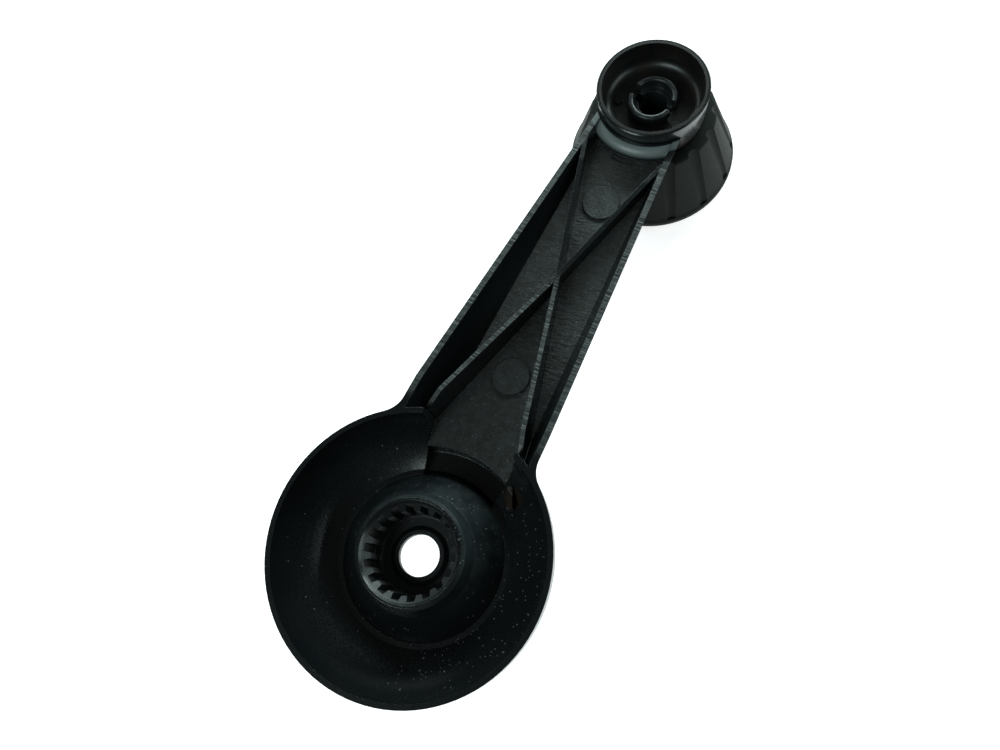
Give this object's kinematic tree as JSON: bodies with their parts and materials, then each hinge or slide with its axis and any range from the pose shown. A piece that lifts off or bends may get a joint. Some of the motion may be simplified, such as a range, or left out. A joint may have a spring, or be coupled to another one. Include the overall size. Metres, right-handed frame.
{
  "type": "window winder crank handle",
  "caption": "Moulded crank arm with a splined hub in a round dish and a free-turning fluted knob, for winding a window regulator.",
  "frame": {"origin": "on the axis of the splined socket, where the full splines begin behind the lead-in cone", "axes": "+Z out of the socket's mouth, towards the door; +X from the hub to the knob; the knob stands out along -Z, towards the user"},
  "size_m": [0.1427, 0.05, 0.031],
  "materials": {
    "arm_plastic": "near-black moulded plastic with a satin sheen and a faint grain",
    "pin_plastic": "dark grey moulded plastic, smooth",
    "knob_plastic": "near-black moulded plastic, matte with a faint green-grey cast"
  },
  "bodies": {
    "crank": {"crank_arm": "arm_plastic", "snap_pin": "pin_plastic"},
    "knob": {"knob_body": "knob_plastic", "knob_cap": "knob_plastic"}
  },
  "joints": [
    {"name": "knob_spin", "type": "hinge", "parent": "crank", "child": "knob", "pos_m": [0.1, 0, -0.015], "axis": [0, 0, 1], "continuous": true}
  ]
}
